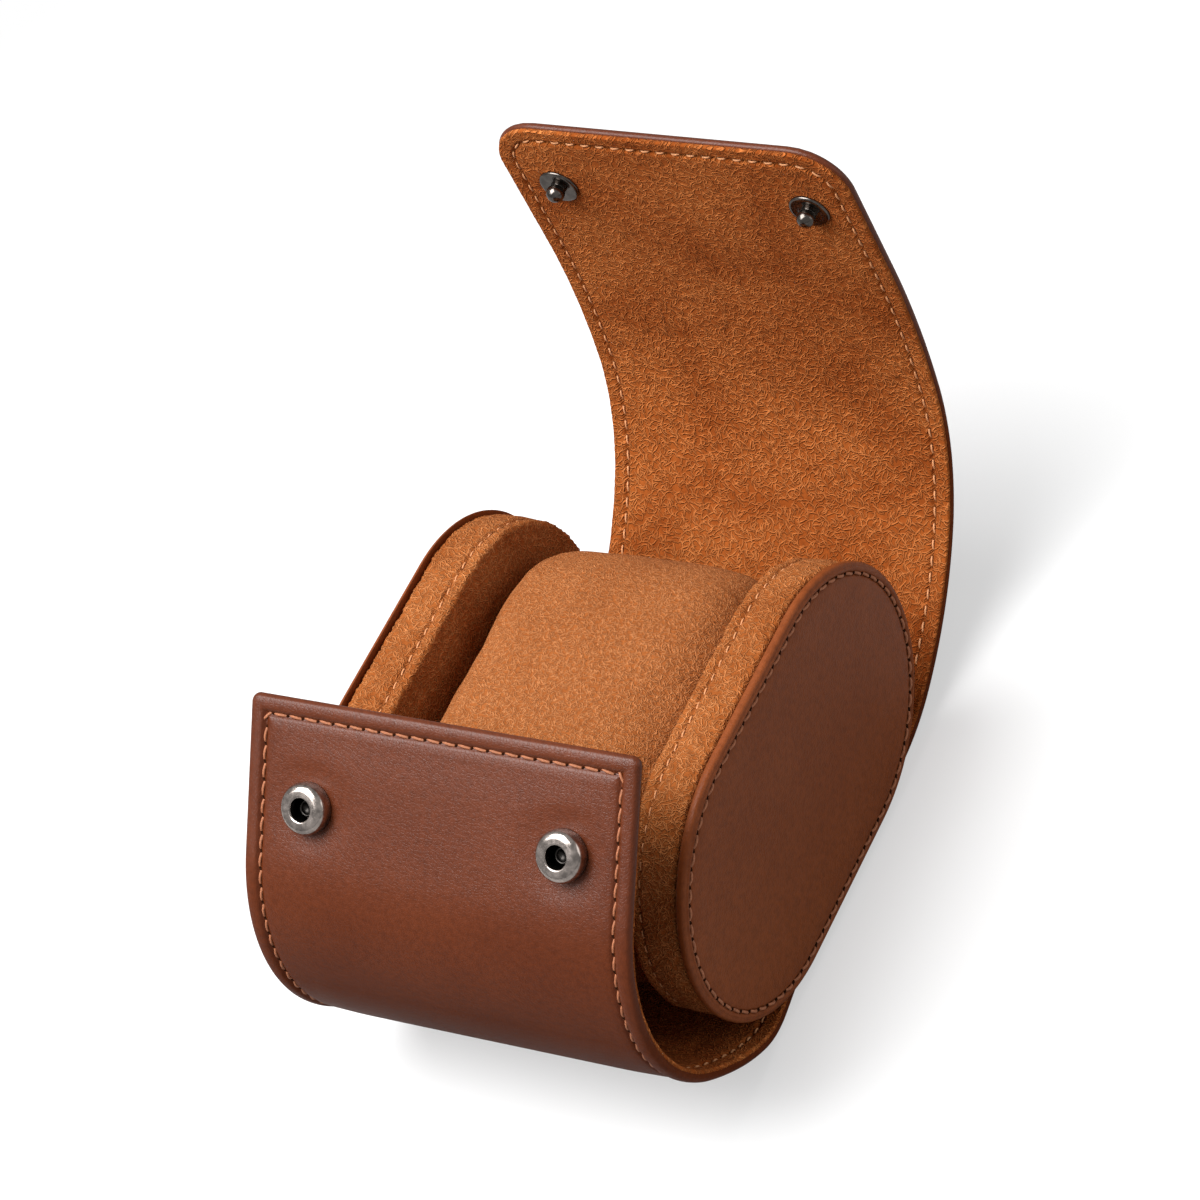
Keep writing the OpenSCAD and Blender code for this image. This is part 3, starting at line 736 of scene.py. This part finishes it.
def lofted(name, rings, sign, material, middle, ripple=None, around=260):
    """A closed skin over rings of (radius, place across) laid round the round-ended outline, which
    shrinks to a point in the middle of each end. Its own map runs round the outline and along the
    rings, and lies flat on the middle of each end."""
    outline = round_ended_outline(around)
    points = []
    for radius, across in rings:
        spread = min(radius / END_SHRINK, 1.0)
        for centre, c, s in outline:
            point = Vector((sign * across, centre * spread + radius * c, middle + radius * s))
            if ripple:
                point += ripple(point, radius, across, Vector((0, c, s)))
            points.append(point)
    count, faces = len(outline), []
    for i in range(len(rings) - 1):
        for j in range(count):
            k = (j + 1) % count
            faces.append((i * count + j, i * count + k, (i + 1) * count + k, (i + 1) * count + j))
    mesh = bpy.data.meshes.new(name)
    mesh.from_pydata(points, [], faces)
    round_step = (2 * math.pi * FACE_RADIUS + 4 * WALL_STRAIGHT) / count
    run = [0.0]
    for one, two in zip(rings, rings[1:]):
        run.append(run[-1] + math.hypot(two[0] - one[0], two[1] - one[1]))
    layer = mesh.uv_layers.new(name="round")
    for index, polygon in enumerate(mesh.polygons):
        i, j = divmod(index, count)
        for loop, (du, dv) in zip(polygon.loop_indices, ((0, 0), (1, 0), (1, 1), (0, 1))):
            if max(rings[i][0], rings[i + 1][0]) < FLAT_MAP:
                layer.data[loop].uv = points[mesh.loops[loop].vertex_index].yz
            else:
                layer.data[loop].uv = ((j + du) * round_step, run[i + dv])
    shell = bmesh.new()
    shell.from_mesh(mesh)
    bmesh.ops.remove_doubles(shell, verts=shell.verts, dist=0.00002)
    bmesh.ops.holes_fill(shell, edges=shell.edges)
    bmesh.ops.recalc_face_normals(shell, faces=shell.faces)
    for f in shell.faces:
        f.smooth = True
    shell.to_mesh(mesh)
    shell.free()
    mesh.materials.append(material)
    thing = bpy.data.objects.new(name, mesh)
    bpy.context.scene.collection.objects.link(thing)
    return thing


wall_suede = suede_material("wall_suede", (0.510, 0.176, 0.055), (0.380, 0.115, 0.031), 60.0,
                            0.0020, "Object")

for wall, sign, shift in (("left", -1, 0.0013), ("right", 1, 0.0)):
    rings = [(0.0, 0.0469 + shift), (FACE_RADIUS - 0.0030, 0.0469 + shift)]
    rings += [(FACE_RADIUS - 0.0004, 0.0470 + shift * 0.9), (FACE_RADIUS, 0.0474 + shift * 0.6)]
    rings += [(FACE_RADIUS - 0.0011 + 0.0011 * math.cos(a), 0.0482 + 0.0010 * math.sin(a))
              for a in np.linspace(0, math.pi / 2, 7)]
    for radius in np.linspace(FACE_RADIUS - 0.0013, FACE_STITCH - 0.0022, 26):
        dip = 0.00045 * math.exp(-((radius - FACE_STITCH) / 0.00055) ** 2)
        full = 0.00030 * math.sin(math.pi * min(max((FACE_RADIUS - radius) / 0.0026, 0), 1))
        puff = 0.00022 * smooth_step(FACE_STITCH - radius, 0.0, 0.003)
        rings.append((radius, FACE_OUT + puff + full - dip))
    for radius in np.linspace(FACE_STITCH - 0.0030, 0.0, 14):
        rise = 0.00022 + 0.00030 * (1 - (radius / FACE_STITCH) ** 2)
        rings.append((radius, FACE_OUT + rise))
    panel = lofted(wall + "_face", rings, sign, face_leather, WALL_MIDDLE)
    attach(panel, "case")
    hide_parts(wall + "_face_leather")

    outline = round_ended_outline(216)
    ring = [(Vector((sign * 0.04918, centre + FACE_STITCH * c, WALL_MIDDLE + FACE_STITCH * s)),
             Vector((sign, 0, 0))) for centre, c, s in outline]
    around = sew(wall + "_face_stitches", [ring + ring[:1]], "orange", -0.10, 0.00036, 0.0033)
    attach(around, "case")

    def band_ripple(point, radius, across, out, sign=sign, shift=shift):
        across -= shift
        soft = (0.00020 * waves(point, 0.0060, 1.0 + sign)
                + 0.00010 * waves(point, 0.0023, 4.0 + sign))
        outer_edge = math.exp(-((across - 0.0457) / 0.0005) ** 2)
        inner_edge = math.exp(-((across - 0.0345) / 0.0007) ** 2) if radius > 0.0335 else 0
        frayed = 0.00042 * waves(point, 0.0008, 2.0) * (outer_edge + 0.7 * inner_edge)
        return out * (soft + frayed) if radius > 0.02 else Vector((0, 0, 0))

    rings = [(0.0, 0.0466), (0.0332, 0.0466), (0.0338, 0.0464), (0.0346, 0.0462), (0.0352, 0.0459)]
    for across in np.linspace(0.0456, WALL_INNER + INNER_RIM, 44):
        past = across - SEAM_PLACE
        dip = 0.00060 * math.exp(-(past / 0.00050) ** 2)
        belly = 0.0003 * math.sin(math.pi * past / 0.0089) if past > 0 else 0
        rings.append((BAND_RADIUS + belly - dip, across))
    rings += [(BAND_RADIUS - INNER_RIM + INNER_RIM * math.cos(a),
               WALL_INNER + INNER_RIM - INNER_RIM * math.sin(a))
              for a in np.linspace(0, math.pi / 2, 8)[1:]]
    rings += [(radius, WALL_INNER) for radius in np.linspace(0.0336, 0.0, 14)]
    rings = [(radius, across + shift) for radius, across in rings]
    band = lofted(wall + "_band", rings, sign, wall_suede, WALL_MIDDLE, band_ripple, 560)
    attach(band, "case")
    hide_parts(wall + "_wall_suede", wall + "_wall_core")

    ring = [(Vector((sign * (SEAM_PLACE + shift), centre + 0.0350 * c, WALL_MIDDLE + 0.0350 * s)),
             Vector((0, c, s))) for centre, c, s in outline]
    band_seam = sew(wall + "_band_stitches", [ring + ring[:1]], "peach", 0.12, radius=0.00021,
                    length=0.0021)
    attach(band_seam, "case")

# ---- The cushion ----
# A soft round-ended pillow in paler suede that a watch is strapped round. It is loose, so it lifts
# out. Its crown, full rims and long left end are the photo's, and cloth under pressure rounds them.
CUSHION_MIDDLE = 0.0341
CUSHION_RADIUS = 0.0314
CUSHION_HALF = 0.0326
LEFT_EXTRA = 0.0012
SWELL_CAP = 0.0008
REMESH_SIZE = 0.0018
CLOTH_FRAMES = 20
cushion_suede = suede_material("cushion_suede", (0.490, 0.173, 0.058), (0.410, 0.136, 0.043), 30.0,
                               0.0015, "Object")


def cushion_lift(point, radius, across, out):
    """The top stands a little higher than a plain round end would."""
    return out * 0.0016 * smooth_step(point.z, 0.030, 0.058) * smooth_step(radius, 0.017, 0.022)


def baked(thing):
    """Puts what the modifiers make into the piece's own mesh and removes them."""
    seen = thing.evaluated_get(bpy.context.evaluated_depsgraph_get())
    thing.data = bpy.data.meshes.new_from_object(seen)
    thing.modifiers.clear()


def stuffed(thing, cap):
    """A closed skin as stuffed cloth: remeshed, blown up from inside without gravity, with no point
    more than cap from where it began, then subdivided."""
    remesh = thing.modifiers.new("remesh", "REMESH")
    remesh.mode = "VOXEL"
    remesh.voxel_size = REMESH_SIZE
    baked(thing)
    first = [v.co.copy() for v in thing.data.vertices]
    cloth = thing.modifiers.new("cloth", "CLOTH")
    cloth.settings.use_pressure = True
    cloth.settings.uniform_pressure_force = 4.0
    cloth.settings.effector_weights.gravity = 0.0
    cloth.point_cache.frame_start = 1
    cloth.point_cache.frame_end = CLOTH_FRAMES
    for moment in range(1, CLOTH_FRAMES + 1):
        bpy.context.scene.frame_set(moment)
    baked(thing)
    bpy.context.scene.frame_set(1)
    for v, begin in zip(thing.data.vertices, first):
        move = v.co - begin
        if move.length > cap:
            v.co = begin + move.normalized() * cap
    thing.modifiers.new("round", "SUBSURF").levels = 2
    baked(thing)


rings = []
for way, half, fullness in ((-1, CUSHION_HALF + LEFT_EXTRA, 18), (1, CUSHION_HALF, 6)):
    end = [(r, way * (half - 0.0006 * (r / 0.017) ** 2)) for r in np.linspace(0.0, 0.0170, 10)]
    for share in 1 - np.linspace(0.0, 1.0, 44) ** 2.2:
        fall = (CUSHION_RADIUS - 0.0184) * share ** fullness + 0.0012 * share ** 2
        end.append((CUSHION_RADIUS - fall, way * share * (half - 0.0006)))
    rings += end if way < 0 else end[::-1][1:]
cushion = lofted("cushion", rings, 1, cushion_suede, CUSHION_MIDDLE, cushion_lift)
pillow = lofted("pillow", rings, 1, cushion_suede, CUSHION_MIDDLE, cushion_lift)
stuffed(pillow, SWELL_CAP)
blown = BVHTree.FromPolygons([v.co for v in pillow.data.vertices],
                             [p.vertices for p in pillow.data.polygons])
for v in cushion.data.vertices:
    spot, out, _, _ = blown.find_nearest(v.co)
    v.co = spot + out * (0.00022 * waves(spot, 0.0110, 0.4) + 0.00010 * waves(spot, 0.0040, 2.0))
    v.co.z = max(v.co.z, CUSHION_MIDDLE - CUSHION_RADIUS)
    v.co.x = min(max(v.co.x, -CUSHION_HALF - LEFT_EXTRA), CUSHION_HALF + LEFT_EXTRA)
bpy.data.objects.remove(pillow)
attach(cushion, "cushion")
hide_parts("cushion_cover", "cushion_foam")

# ---- The press snaps ----
# Nickel-silver sockets riveted through the front panel, each a domed ring with a wire spring behind
# its mouth, and dark ball studs on the flap's suede side with a domed cap on its outside.


def metal(name, colour, rough, worn):
    material = bpy.data.materials.new(name)
    tree, shader = nodes_of(material)
    place = tree.nodes.new("ShaderNodeTexCoord").outputs["Object"]
    wear = add(tree, "ShaderNodeTexNoise", Vector=place, Scale=520.0, Detail=4.0, Roughness=0.6)
    tint = ramp(tree, wear.outputs[0], [(0.35, tuple(c * worn for c in colour)), (0.62, colour)])
    tree.links.new(tint.outputs[0], shader.inputs["Base Color"])
    spread = add(tree, "ShaderNodeMapRange", Value=wear.outputs[0])
    spread.inputs["To Min"].default_value = rough * 0.8
    spread.inputs["To Max"].default_value = rough * 1.4
    tree.links.new(spread.outputs[0], shader.inputs["Roughness"])
    shader.inputs["Metallic"].default_value = 1.0
    return material


nickel_silver = metal("nickel_silver", (0.56, 0.485, 0.440), 0.18, 0.50)
dark_nickel = metal("dark_nickel", (0.150, 0.132, 0.118), 0.18, 0.6)
# Near-black metal for the inside of each socket's mouth: painted shade in the well.
socket_well_shade = metal("socket_well_shade", (0.055, 0.050, 0.046), 0.34, 0.5)


def turned_pair(name, side, back, depth, outwards, profile, material, inner=None, inner_from=0):
    """Two turned pieces, one at each snap, from a profile of (radius, height) pairs. Past one place
    of the profile they may have a second material."""
    length = FLAP_LENGTH if side > 0 else FRONT_LENGTH
    slope_out = wrap_normal(side, length - back) * (1 if outwards else -1)
    across = Vector((1, 0, 0))
    third = slope_out.cross(across)
    points, faces, steps = [], [], 56
    for x in (-SNAP_X, SNAP_X):
        centre = wrap_place(side, length - back, x, depth)
        first = len(points)
        for radius, height in profile:
            for k in range(steps):
                a = 2 * math.pi * k / steps
                points.append(centre + slope_out * height
                              + (across * math.cos(a) + third * math.sin(a)) * radius)
        for i in range(len(profile) - 1):
            for k in range(steps):
                n = (k + 1) % steps
                faces.append((first + i * steps + k, first + i * steps + n,
                              first + (i + 1) * steps + n, first + (i + 1) * steps + k))
    mesh = bpy.data.meshes.new(name)
    mesh.from_pydata(points, [], faces)
    mesh.materials.append(material)
    if inner:
        mesh.materials.append(inner)
        for index, polygon in enumerate(mesh.polygons):
            if (index // steps) % (len(profile) - 1) >= inner_from:
                polygon.material_index = 1
    shell = bmesh.new()
    shell.from_mesh(mesh)
    bmesh.ops.remove_doubles(shell, verts=shell.verts, dist=0.000004)
    bmesh.ops.recalc_face_normals(shell, faces=shell.faces)
    for f in shell.faces:
        f.smooth = True
    shell.to_mesh(mesh)
    shell.free()
    thing = bpy.data.objects.new(name, mesh)
    bpy.context.scene.collection.objects.link(thing)
    return thing


def arc_points(centre_r, centre_h, radius, begin, end, count):
    return [(centre_r + radius * math.cos(a), centre_h + radius * math.sin(a))
            for a in np.linspace(math.radians(begin), math.radians(end), count)]


socket = [(0.0, 0.0), (0.00570, 0.0), (0.00585, 0.0002), (0.00585, 0.0019)]
socket += [(0.0036 + 0.00225 * math.cos(a) ** 0.75, 0.0019 + 0.0021 * math.sin(a))
           for a in np.linspace(0.0, 1.5, 12)[1:]]
socket += arc_points(0.00302, 0.00358, 0.0004, 75, 180, 6)
lip_at = len(socket) - 1
socket += [(0.00258, 0.0032), (0.00258, 0.0031), (0.0049, 0.0030), (0.0049, 0.0006)]
socket += [(0.0021, 0.0006), (0.0019, 0.0012), (0.0015, 0.0013), (0.0013, 0.0010)]
socket += [(0.0013, 0.0006), (0.0, 0.0006)]
# Past the lip the socket is drawn in near-black metal, painted shade inside its mouth.
sockets = turned_pair("sockets", -1, SOCKET_BACK, 0, True, socket, nickel_silver, socket_well_shade,
                      lip_at)
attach(sockets, "front_top")
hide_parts("snap_sockets")

spring = arc_points(0.0031, 0.0027, 0.0003, 0, 360, 13)
springs = turned_pair("springs", -1, SOCKET_BACK, 0, True, spring, dark_nickel)
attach(springs, "front_top")
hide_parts("socket_springs")

back_cap = [(0.0, 0.0005), (0.0036, 0.0005), (0.0044, 0.00035), (0.0046, 0.0001)]
back_cap += [(0.0046, 0.0), (0.0, 0.0)]
back_caps = turned_pair("back_caps", -1, SOCKET_BACK, WRAP_THICK + 0.0001, False, back_cap,
                        nickel_silver)
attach(back_caps, "front_top")
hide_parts("socket_caps")

stud = [(0.0, 0.0), (0.0049, 0.0), (0.0050, 0.0002), (0.0049, 0.0006), (0.0045, 0.0008)]
stud += [(0.0040, 0.00085), (0.0032, 0.00078), (0.0024, 0.00078), (0.0018, 0.0010)]
stud += arc_points(0.0, 0.0024, 0.0022, -42, 90, 14)
studs = turned_pair("studs", 1, STUD_BACK, WRAP_THICK, False, stud, dark_nickel)
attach(studs, "flap_5")
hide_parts("snap_studs")

outer_cap = [(0.0, 0.0), (0.0058, 0.0), (0.0060, 0.0002)]
outer_cap += [(0.006 * math.cos(a), 0.0003 + 0.0011 * math.sin(a))
              for a in np.linspace(0.1, math.pi / 2, 9)]
outer_caps = turned_pair("outer_caps", 1, STUD_BACK, 0, True, outer_cap, dark_nickel)
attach(outer_caps, "flap_5")
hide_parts("stud_caps")

# ---- Floor, light and camera ----
# A plain white floor keeps the case's shadow and shows as white; the light is soft and comes from
# the upper left of the photo. The camera is rolled, because the photo stands the case on its edge.
bpy.context.scene.view_settings.view_transform = "Standard"

floor_mesh = bpy.data.meshes.new("floor")
floor_mesh.from_pydata([(-4, -4, -0.0002), (4, -4, -0.0002), (4, 4, -0.0002), (-4, 4, -0.0002)], [],
                       [(0, 1, 2, 3)])
floor = bpy.data.objects.new("floor", floor_mesh)
bpy.context.scene.collection.objects.link(floor)
floor_paint = bpy.data.materials.new("floor_paint")
floor_nodes, floor_shader = nodes_of(floor_paint)
floor_path = floor_nodes.nodes.new("ShaderNodeLightPath")
floor_seen = floor_nodes.nodes.new("ShaderNodeMath")
floor_seen.operation = "MAXIMUM"
floor_nodes.links.new(floor_path.outputs["Is Camera Ray"], floor_seen.inputs[0])
floor_nodes.links.new(floor_path.outputs["Is Transmission Ray"], floor_seen.inputs[1])
floor_tone = ramp(floor_nodes, floor_seen.outputs[0],
                  [(0.0, (0.32, 0.32, 0.32)), (1.0, (0.9, 0.9, 0.9))])
floor_nodes.links.new(floor_tone.outputs[0], floor_shader.inputs["Base Color"])
floor_shader.inputs["Roughness"].default_value = 0.9
floor_shader.inputs["Specular IOR Level"].default_value = 0.0
floor_glow = floor_nodes.nodes.new("ShaderNodeEmission")
floor_place = floor_nodes.nodes.new("ShaderNodeTexCoord")
floor_far = add(floor_nodes, "ShaderNodeVectorMath", i0=floor_place.outputs["Object"])
floor_far.operation = "LENGTH"
floor_fade = add(floor_nodes, "ShaderNodeMapRange", Value=floor_far.outputs["Value"], From_Min=0.16,
                 From_Max=0.42, To_Min=0.5, To_Max=1.0)
floor_share = add(floor_nodes, "ShaderNodeMath", i0=floor_seen.outputs[0], i1=floor_fade.outputs[0])
floor_share.operation = "MULTIPLY"
floor_mix = floor_nodes.nodes.new("ShaderNodeMixShader")
floor_nodes.links.new(floor_share.outputs[0], floor_mix.inputs[0])
floor_nodes.links.new(floor_shader.outputs[0], floor_mix.inputs[1])
floor_nodes.links.new(floor_glow.outputs[0], floor_mix.inputs[2])
floor_nodes.links.new(floor_mix.outputs[0], floor_nodes.nodes["Material Output"].inputs["Surface"])
floor_mesh.materials.append(floor_paint)

CAMERA_PLACE = Vector((0.54796, -0.51107, 0.81743))
CAMERA_RIGHT = Vector((0.84795, 0.41692, -0.32736))
CAMERA_UP = Vector((-0.12880, 0.76111, 0.63571))
CAMERA_BACK = Vector((0.51419, -0.49689, 0.69908))

world = bpy.data.worlds.new("studio")
bpy.context.scene.world = world
world.use_nodes = True
sky = world.node_tree
paint = sky.nodes["Background"]
paint.inputs["Color"].default_value = (1, 1, 1, 1)
path = sky.nodes.new("ShaderNodeLightPath")
glossy_share = sky.nodes.new("ShaderNodeMath")
glossy_share.operation = "MULTIPLY_ADD"
glossy_share.inputs[1].default_value = 0.10
sky.links.new(path.outputs["Is Glossy Ray"], glossy_share.inputs[0])
sky.links.new(path.outputs["Is Transmission Ray"], glossy_share.inputs[2])
seen = sky.nodes.new("ShaderNodeMath")
seen.operation = "MAXIMUM"
sky.links.new(path.outputs["Is Camera Ray"], seen.inputs[0])
sky.links.new(glossy_share.outputs[0], seen.inputs[1])
level = sky.nodes.new("ShaderNodeMapRange")
sky.links.new(seen.outputs[0], level.inputs["Value"])
level.inputs["To Min"].default_value = 0.36
level.inputs["To Max"].default_value = 1.0
sky.links.new(level.outputs[0], paint.inputs["Strength"])


def lamp(name, direction, distance, size, power):
    """A soft square lamp that looks at the case from a direction."""
    data = bpy.data.lights.new(name, "AREA")
    data.shape = "SQUARE"
    data.size = size
    data.energy = power
    thing = bpy.data.objects.new(name, data)
    bpy.context.scene.collection.objects.link(thing)
    thing.location = Vector((0, 0.01, 0.05)) + direction.normalized() * distance
    thing.rotation_mode = "QUATERNION"
    thing.rotation_quaternion = direction.normalized().to_track_quat("Z", "Y")


lamp("key", CAMERA_UP * 0.62 + CAMERA_BACK * 0.80 - CAMERA_RIGHT * 0.85, 1.1, 0.80, 21.0)
lamp("fill", CAMERA_BACK * 0.6 - CAMERA_RIGHT * 0.95 + CAMERA_UP * 0.15, 1.1, 0.5, 3.6)
lamp("side", CAMERA_RIGHT * 0.9 + CAMERA_UP * 0.3 + CAMERA_BACK * 0.4, 1.2, 0.9, 3.2)

camera_data = bpy.data.cameras.new("camera")
camera_data.sensor_width = 36.0
camera_data.lens = 142.47
camera_data.clip_start, camera_data.clip_end = 0.01, 20.0
camera = bpy.data.objects.new("camera", camera_data)
bpy.context.scene.collection.objects.link(camera)
camera.matrix_world = Matrix((
    (CAMERA_RIGHT.x, CAMERA_UP.x, CAMERA_BACK.x, CAMERA_PLACE.x),
    (CAMERA_RIGHT.y, CAMERA_UP.y, CAMERA_BACK.y, CAMERA_PLACE.y),
    (CAMERA_RIGHT.z, CAMERA_UP.z, CAMERA_BACK.z, CAMERA_PLACE.z),
    (0, 0, 0, 1)))
bpy.context.scene.camera = camera
